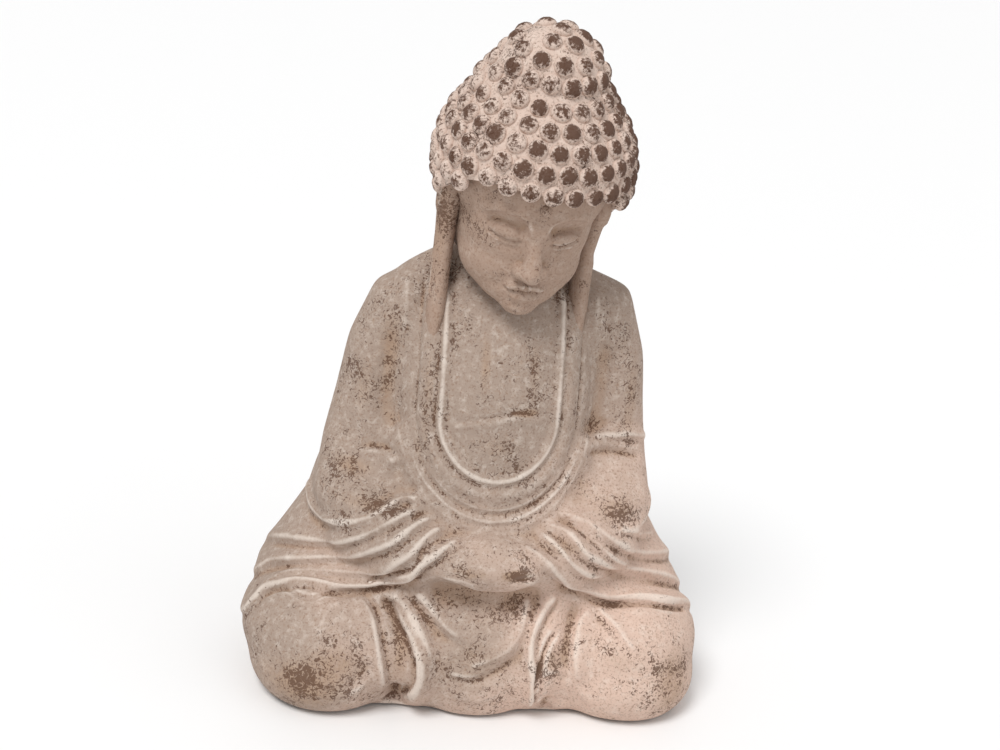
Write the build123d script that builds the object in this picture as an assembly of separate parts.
"""A seated, meditating Buddha figure of fired clay, built from hollow moulded sections.

Millimetres. +Z is up, the figure faces -Y, and left and right are the figure's own sides, so its
left is +X. The origin is the middle of the footprint, on the surface that the figure stands on.
Each section is a shell of pressed clay. The sections are luted, which means joined with liquid
clay, face to face along their seams, and thin strips and knobs are luted onto their outside.
"""

import math
import os

from build123d import *

# ---- Driving sizes ---------------------------------------------------------------------------
CLAY_WALL = 9.0  # thickness of the body sections
HEAD_WALL = 8.0
SLEEVE_WALL = 8.0
LUTE_GAP = 0.3  # a piece that drops into an opening has this much to spare all round

PAD_THICKNESS = 2.0  # felt pads
PAD_RECESS = 0.5  # depth of their seats in the base slab
PAD_RADIUS = 11.0
PAD_PLACES = [(-62.0, -38.0), (62.0, -38.0), (-62.0, 50.0), (62.0, 50.0)]

SEAM_HEIGHT = 84.0  # flat seam between the crossed legs and the torso
BASE_THICKNESS = 9.0
VENT_RADIUS = 2.5
VENT_PLACE = (0.0, 40.0)

KNEE_CENTRE = (82.0, -24.0, 36.0)
KNEE_RADII = (54.0, 65.0, 40.0)
SHIN_CENTRE = (40.0, -36.0, 34.0)
SHIN_RADII = (62.0, 54.0, 44.0)
LEG_SPLIT = 44.0  # the two leg sections meet the middle section this far from the middle

# Half width, half depth and middle of depth of the waist, where torso and legs meet.
WAIST = (92.0, 66.0, 10.0)
# Height, half width, half depth and middle of depth of the seat, below the waist.
SEAT_SECTIONS = [
    (0.0, 112.0, 84.0, 5.0),
    (30.0, 122.0, 88.0, 2.0),
    (58.0, 118.0, 80.0, 5.0),
    (SEAM_HEIGHT, *WAIST),
]
# The same for the torso, with heights measured from the seam.
TORSO_RISE = 178.0
SHOULDER_DROP = 36.0  # the shoulders are at their widest this far below the torso's top
TORSO_SECTIONS = [
    (0.0, *WAIST),
    (28.0, 76.0, 64.0, 8.0),
    (66.0, 66.0, 62.0, 4.0),
    (111.0, 68.0, 60.0, 3.0),
    (TORSO_RISE - SHOULDER_DROP, 70.0, 52.0, 4.0),
    (TORSO_RISE - SHOULDER_DROP / 2, 61.0, 44.0, 2.5),
    (TORSO_RISE, 36.0, 33.0, 0.0),
]
TORSO_SPLIT = 6.0  # front and back halves meet in this plane

NECK_PLACE = (1.0, -4.0)
NECK_RADIUS = 28.0
NECK_BORE = 19.0
NECK_SINK = 5.0  # the neck tube stands on a ledge this far below the torso's top
NECK_RISE = 28.0  # and reaches this far above it
NECK_LEDGE = 4.0

# Left sleeve: x, y and height above the seam of its centre line, and its half thickness there.
SLEEVE_PATH = [
    (42.0, 3.0, TORSO_RISE - SHOULDER_DROP + 24.0, 11.0),
    (56.0, 4.0, TORSO_RISE - SHOULDER_DROP + 8.0, 21.0),
    (66.0, 5.0, 122.0, 25.0),
    (71.0, 4.0, 90.0, 26.0),
    (76.0, -2.0, 58.0, 26.0),
    (80.0, -18.0, 32.0, 26.0),
    (66.0, -42.0, 20.0, 23.0),
    (44.0, -60.0, 18.0, 18.0),
    (27.0, -68.0, 19.0, 14.0),
]
SLEEVE_VENT_RADIUS = 2.5
SLEEVE_VENT_HEIGHT = 90.0  # above the seam
SLEEVE_VENT_DEPTH = 4.0
SLEEVE_VENT_REACH = 72.0  # both vents are drilled from the middle out to here

HEM_THICKNESS = 5.0  # robe cloth over the thighs and round the back
HEM_FRONT = (34.0, -85.0, 4.0)  # a point on its lower edge, beside the hands, from the seam
HEM_SIDE_FALL = 0.11  # drop of that edge for each millimetre outwards
HEM_BACK_FALL = 0.51  # and for each millimetre towards the back

DRAPE_THICKNESS = 5.0
DRAPE_DROP = 2.0  # its top lies this far below the seam
DRAPE_TOP_WIDTH = 92.0
DRAPE_FOOT_WIDTH = 76.0

# Neck bands of the robe, from the inside out: half width of each edge, and the height of its
# bottom above the seam.
BAND_EDGES = [(33.0, 65.0), (39.0, 55.0), (45.0, 44.0), (51.0, 33.0)]
BANDS = {"neck_band_inner": 4.0, "neck_band_middle": 6.0, "neck_band_outer": 5.0}  # thickness
BAND_DROP = 10.0  # the bands end this far below the torso's top

HAND_WIDTH = 88.0
HAND_DEPTH = 44.0
HAND_THICKNESS = 22.0
UPPER_HAND = (-3.0, -72.0, 20.0)  # height above the seam
LOWER_HAND = (5.0, -74.0, 8.0)

# The head leans: it is bowed forwards, tipped to its left and turned a little. What belongs to it
# is made about its own centre and then placed.
HEAD_CENTRE = (7.0, -18.0, 60.0)  # height above the torso's top
HEAD_BOW = 17.0
HEAD_TIP = 5.0
HEAD_TURN = 3.0
CRANIUM_CENTRE = (0.0, 2.0, 6.0)
CRANIUM_RADII = (49.0, 55.0, 52.0)
JAW_CENTRE = (0.0, -16.0, -24.0)
JAW_RADII = (42.0, 39.0, 44.0)
HEAD_SPLIT = 4.0  # face half and back half meet in this plane
HAIR_THICKNESS = 5.0
HAIRLINE_FRONT = 15.0  # height of the hairline in front
HAIRLINE_FALL = 20.0  # degrees that it falls towards the back
TOPKNOT_CENTRE = (0.0, 11.0, 46.0)
TOPKNOT_RADII = (31.0, 30.0, 35.0)
CURL_RADIUS = 6.0  # of the ball that a curl is the cap of
CURL_RISE = 3.5
CURL_PITCH = 13.6
NOSE_CENTRE = (0.0, -51.0, -24.0)
NOSE_RADII = (8.0, 11.0, 17.0)
MARK_RADIUS = 3.5
MARK_RISE = 1.5
MARK_HEIGHT = 1.0
EAR_CENTRE = (45.0, -8.0, -46.0)
EAR_RADII = (7.0, 12.0, 36.0)
EAR_HANG = -12.0  # degrees that the ears hang back from the head's own axis
EAR_SPLAY = -5.0

FAR = 400.0  # larger than the figure, for half spaces


# ---- Forms -----------------------------------------------------------------------------------
def ellipsoid(centre, radii, grow=0.0):
    """An ellipsoid with each half axis made longer by grow."""
    return Pos(*centre) * scale(Sphere(1.0), by=tuple(r + grow for r in radii))


def stacked(sections, floor=0.0, grow=0.0):
    """A smooth body through level ellipses, each grown outwards, with heights from a floor."""
    slices = []
    for height, half_width, half_depth, middle in sections:
        place = Pos(0, middle, floor + height)
        slices.append(place * Ellipse(half_width + grow, half_depth + grow))
    return loft(slices)


def above(height):
    """The half space above a level."""
    return Pos(0, 0, height + FAR / 2) * Box(2 * FAR, 2 * FAR, FAR)


def beside(sign, x):
    """The half space beyond x on one side, with sign +1 for the figure's left."""
    return Pos(sign * (x + FAR / 2), 0, 0) * Box(FAR, 2 * FAR, 2 * FAR)


def in_front(y):
    """The half space in front of y."""
    return Pos(0, y - FAR / 2, 0) * Box(2 * FAR, FAR, 2 * FAR)


def on_side(sign, point):
    """A point on the left side, or its mirror image on the right."""
    return (sign * point[0], *point[1:])


def without(shape, *others):
    """The shape with the others cut away one after another."""
    for other in others:
        shape -= other
    return shape


def torso_top():
    """Height of the top of the shoulders."""
    return SEAM_HEIGHT + TORSO_RISE


def from_seam(point):
    """A point given by its height above the seam, in the figure's own frame."""
    x, y, rise = point
    return (x, y, SEAM_HEIGHT + rise)


def torso_form(grow=0.0):
    """The torso as one body, from the seam to the top of the shoulders."""
    return stacked(TORSO_SECTIONS, SEAM_HEIGHT, grow)


def clay_foot():
    """Height of the clay's underside, which the pads hold off the floor."""
    return PAD_THICKNESS - PAD_RECESS


def legs_form(grow=0.0):
    """The crossed legs as one body, from the clay's underside to the torso's seam."""
    body = stacked(SEAT_SECTIONS, grow=grow)
    for sign in (-1, 1):
        body += ellipsoid(on_side(sign, KNEE_CENTRE), KNEE_RADII, grow)
        body += ellipsoid(on_side(sign, SHIN_CENTRE), SHIN_RADII, grow)
    return body & (above(clay_foot()) - above(SEAM_HEIGHT))


def sleeve_form(sign, grow=0.0):
    """One sleeve, from the shoulder round the elbow to the wrist."""
    points = [Vector(*from_seam(on_side(sign, entry[:3]))) for entry in SLEEVE_PATH]
    line = Spline(*points)
    rings = []
    for point, (*_, half) in zip(points, SLEEVE_PATH):
        heading = line.tangent_at(line.param_at_point(point))
        rings.append(Plane(origin=point, x_dir=(0, 1, 0), z_dir=heading) * Circle(half + grow))
    return loft(rings)


def on_head(shape):
    """Places a shape made about the head's centre onto the leaning head."""
    x, y, rise = HEAD_CENTRE
    return Location((x, y, torso_top() + rise), (HEAD_BOW, HEAD_TIP, HEAD_TURN)) * shape


def skull_form(grow=0.0):
    """Cranium and jaw about the head's own centre."""
    return ellipsoid(CRANIUM_CENTRE, CRANIUM_RADII, grow) + ellipsoid(JAW_CENTRE, JAW_RADII, grow)


def hair_space():
    """The half space above the hairline, about the head's own centre."""
    front = CRANIUM_CENTRE[1] - CRANIUM_RADII[1]
    edge = Pos(0, front, HAIRLINE_FRONT) * Rot(-HAIRLINE_FALL, 0, 0)
    return edge * above(0)


def hem_space(sign):
    """The half space above the hem's sloping lower edge, on one side."""
    normal = Vector(sign * HEM_SIDE_FALL, HEM_BACK_FALL, 1)
    edge = Plane(origin=from_seam(on_side(sign, HEM_FRONT)), z_dir=normal)
    return edge.location * above(0) & beside(sign, 0)


def u_prism(half_width, bottom):
    """A prism along Y with a round bottom, inside one edge of the neck bands."""
    middle = SEAM_HEIGHT + bottom + half_width
    top = torso_top() - BAND_DROP
    straight = Pos(0, 0, (middle + top) / 2) * Box(2 * half_width, FAR, top - middle)
    return straight + Pos(0, 0, middle) * Rot(90, 0, 0) * Cylinder(half_width, FAR)


def dome(radius, rise):
    """A low round knob with a flat foot at the origin, pointing up."""
    return (Pos(0, 0, rise - radius) * Sphere(radius)) & above(0)


def surface_spot(centre, radii, polar, around):
    """A frame on an ellipsoid: polar is measured from its top and around from the front."""
    way = (math.sin(polar) * math.sin(around), -math.sin(polar) * math.cos(around), math.cos(polar))
    spot = [c + r * w for c, r, w in zip(centre, radii, way)]
    normal = Vector(*(w / r for r, w in zip(radii, way)))
    return Plane(origin=spot, z_dir=normal.normalized())


# ---- Body sections ---------------------------------------------------------------------------
legs_outer = legs_form()
legs_hollow = legs_form(-CLAY_WALL)
torso_outer = torso_form()
torso_hollow = torso_form(-CLAY_WALL) - above(torso_top() - CLAY_WALL)
sleeves_outer = {sign: sleeve_form(sign) - torso_outer - legs_outer for sign in (-1, 1)}


def pads(radius):
    """One disc for each felt pad."""
    return [Pos(x, y, PAD_THICKNESS / 2) * Cylinder(radius, PAD_THICKNESS) for x, y in PAD_PLACES]


def base_plate():
    """The slab that closes the underside, with the vent that firing needs and the pads' seats."""
    slab = legs_form(-CLAY_WALL - LUTE_GAP) - above(clay_foot() + BASE_THICKNESS)
    slab -= Pos(*VENT_PLACE, 0) * Cylinder(VENT_RADIUS, FAR)
    return slab - pads(PAD_RADIUS + LUTE_GAP)


def leg_sections():
    """The crossed legs' shell, cut into two legs and the front and back of the seat."""
    shell = legs_outer - legs_hollow
    right, left = beside(-1, LEG_SPLIT), beside(1, LEG_SPLIT)
    middle, front = without(shell, right, left), in_front(TORSO_SPLIT)
    return {
        "right_leg": shell & right,
        "left_leg": shell & left,
        "seat_front": middle & front,
        "seat_back": middle - front,
    }


def neck_tube(grow=0.0):
    """The tube between torso and head, as a solid rod when grown for a socket."""
    place = Pos(*NECK_PLACE, torso_top() + (NECK_RISE - NECK_SINK) / 2)
    rod = place * Cylinder(NECK_RADIUS + grow, NECK_RISE + NECK_SINK)
    return rod if grow else rod - place * Cylinder(NECK_BORE, FAR)


def sleeve_vents():
    """Prick holes that let air out of the sleeves while the clay is fired."""
    bore = Rot(0, 90, 0) * Cylinder(SLEEVE_VENT_RADIUS, 2 * SLEEVE_VENT_REACH)
    return Pos(0, SLEEVE_VENT_DEPTH, SEAM_HEIGHT + SLEEVE_VENT_HEIGHT) * bore


def torso_halves():
    """The torso's shell with the neck's seat, cut into a front half and a back half."""
    throat = Pos(*NECK_PLACE, torso_top()) * Cylinder(NECK_RADIUS - NECK_LEDGE, 4 * CLAY_WALL)
    shell = without(torso_outer, torso_hollow, sleeve_vents(), neck_tube(LUTE_GAP), throat)
    front = in_front(TORSO_SPLIT)
    return {"torso_front": shell & front, "torso_back": shell - front}


def sleeve(sign):
    """A hollow sleeve, with a wall left beside the torso."""
    room = sleeve_form(sign, -SLEEVE_WALL) - torso_form(SLEEVE_WALL)
    return sleeves_outer[sign] - room - sleeve_vents()


def hem(sign):
    """The robe's cloth over one thigh and half of the back."""
    cloth = legs_form(HEM_THICKNESS) & hem_space(sign)
    return without(cloth, legs_outer, torso_outer, sleeves_outer[sign], lap_drape())


def lap_drape():
    """The end of the robe that hangs in front, between the knees."""
    half_top, half_foot = DRAPE_TOP_WIDTH / 2, DRAPE_FOOT_WIDTH / 2
    top = SEAM_HEIGHT - DRAPE_DROP
    corners = [(-half_foot, 0), (half_foot, 0), (half_top, top), (-half_top, top)]
    panel = Rot(90, 0, 0) * extrude(make_face(Polyline(*corners, close=True)), FAR)
    return (legs_form(DRAPE_THICKNESS) & panel) - legs_outer


def neck_bands():
    """The robe's folded edge round the neck, as strips that follow the chest."""
    strips, edges = {}, [u_prism(*edge) for edge in BAND_EDGES]
    for (name, thickness), inner, outer in zip(BANDS.items(), edges, edges[1:]):
        strip = torso_form(thickness) & (outer - inner) & in_front(TORSO_SPLIT)
        top = above(torso_top() - BAND_DROP)
        strips[name] = without(strip, torso_outer, top, *sleeves_outer.values())
    return strips


def hand_form(place):
    """One hand, with the poles of its surface in the sleeves and its seam towards the torso."""
    form = ellipsoid((0, 0, 0), (HAND_DEPTH / 2, HAND_THICKNESS / 2, HAND_WIDTH / 2))
    return Pos(*from_seam(place)) * Rot(0, 90, 0) * Rot(0, 0, 90) * form


def hands():
    """The two hands in the lap, the right one lying on the left."""
    lower = hand_form(LOWER_HAND)
    upper = hand_form(UPPER_HAND) - lower
    around = [legs_outer, torso_outer, *sleeves_outer.values()]
    return {"right_hand": without(upper, *around), "left_hand": without(lower, *around)}


# ---- Head sections ---------------------------------------------------------------------------
def head_halves():
    """The hollow head with its neck socket, cut into a face half and a back half."""
    skull = skull_form() + ellipsoid(NOSE_CENTRE, NOSE_RADII) - skull_form(-HEAD_WALL)
    front = on_head(in_front(HEAD_SPLIT))
    shell = without(on_head(skull), neck_tube(LUTE_GAP), torso_outer)
    return {"face": shell & front, "head_back": shell - front}


def hair_form():
    """The hair's outside, whole, about the head's own centre."""
    return ellipsoid(CRANIUM_CENTRE, CRANIUM_RADII, HAIR_THICKNESS)


def hair_cap():
    """The hair's shell over the skull, above the hairline."""
    return on_head((hair_form() & hair_space()) - skull_form())


def topknot():
    """The hollow bun on the crown, open where the hair closes it."""
    shell = ellipsoid(TOPKNOT_CENTRE, TOPKNOT_RADII)
    shell -= ellipsoid(TOPKNOT_CENTRE, TOPKNOT_RADII, -HEAD_WALL)
    return on_head((shell - hair_form()) & above(TOPKNOT_CENTRE[2] - TOPKNOT_RADII[2] / 2))


def curl_rows(centre, radii, keep):
    """Knobs in level rows over an ellipsoid, wherever keep allows their place."""
    knob, knobs = dome(CURL_RADIUS, CURL_RISE), []
    rows = round(math.pi * sum(radii) / 3 / CURL_PITCH)
    for row in range(rows):
        polar = math.pi * row / rows
        girth = 2 * math.pi * math.sin(polar) * (radii[0] + radii[1]) / 2
        count = max(1, round(girth / CURL_PITCH))
        for i in range(count):
            spot = surface_spot(centre, radii, polar, 2 * math.pi * (i + row % 2 / 2) / count)
            if keep(spot.origin):
                knobs.append(on_head(spot.location * knob))
    return Compound(children=knobs)


def clear_of_topknot(point):
    """Whether a knob on the hair stands clear of the topknot."""
    reach = [(p - c) / (r + CURL_RADIUS) for p, c, r in zip(point, TOPKNOT_CENTRE, TOPKNOT_RADII)]
    return sum(x * x for x in reach) > 1


def above_hairline(point):
    """Whether a knob's place lies on the hair, a knob's radius above the hairline."""
    fall = math.radians(HAIRLINE_FALL)
    back = point.Y - CRANIUM_CENTRE[1] + CRANIUM_RADII[1]
    rise = (point.Z - HAIRLINE_FRONT) * math.cos(fall) + back * math.sin(fall)
    return rise > CURL_RADIUS


def outside_hair(point):
    """Whether a knob on the topknot stands clear of the hair's outside."""
    reach = [
        (p - c) / (r + HAIR_THICKNESS + CURL_RADIUS)
        for p, c, r in zip(point, CRANIUM_CENTRE, CRANIUM_RADII)
    ]
    return sum(x * x for x in reach) > 1


def hair_curls():
    """All the knobs on the hair."""
    radii = [r + HAIR_THICKNESS for r in CRANIUM_RADII]
    return curl_rows(CRANIUM_CENTRE, radii, lambda p: above_hairline(p) and clear_of_topknot(p))


def topknot_curls():
    """All the knobs on the topknot."""
    return curl_rows(TOPKNOT_CENTRE, TOPKNOT_RADII, outside_hair)


def forehead_mark():
    """The small round mark between the brows."""
    drop = math.acos((MARK_HEIGHT - CRANIUM_CENTRE[2]) / CRANIUM_RADII[2])
    spot = surface_spot(CRANIUM_CENTRE, CRANIUM_RADII, drop, 0)
    return on_head(spot.location * dome(MARK_RADIUS, MARK_RISE))


def ear(sign):
    """One long ear, lying against the head and reaching the shoulder."""
    tilt = Rot(EAR_HANG, sign * EAR_SPLAY, 0)
    shape = Pos(*on_side(sign, EAR_CENTRE)) * tilt * scale(Sphere(1.0), by=EAR_RADII)
    return on_head(without(shape, skull_form(), hair_form() & hair_space())) - torso_outer


# ---- Assembly --------------------------------------------------------------------------------
def all_parts():
    """Every node of the figure."""
    nodes = {"base_plate": base_plate(), "felt_pads": Compound(children=pads(PAD_RADIUS))}
    nodes.update(leg_sections())
    nodes.update(torso_halves())
    nodes["neck_tube"] = neck_tube()
    nodes.update(hands())
    strips = neck_bands()
    nodes.update(strips)
    for sign, name in ((-1, "right"), (1, "left")):
        nodes[name + "_sleeve"] = sleeve(sign)
        nodes[name + "_hem"] = without(hem(sign), nodes["left_hand"])
        nodes[name + "_ear"] = without(ear(sign), *strips.values(), sleeves_outer[sign])
    nodes["lap_drape"] = without(lap_drape(), nodes["right_hand"], nodes["left_hand"])
    nodes.update(head_halves())
    nodes["hair_cap"] = hair_cap()
    nodes["topknot"] = topknot()
    nodes["hair_curls"] = hair_curls()
    nodes["topknot_curls"] = topknot_curls()
    nodes["forehead_mark"] = forehead_mark()
    return nodes


os.makedirs("parts", exist_ok=True)
for node, shape in all_parts().items():
    export_step(shape, f"parts/{node}.step")
    print(f"{node:18s} {len(shape.solids()):4d} solids {shape.volume / 1000:8.1f} cm3")
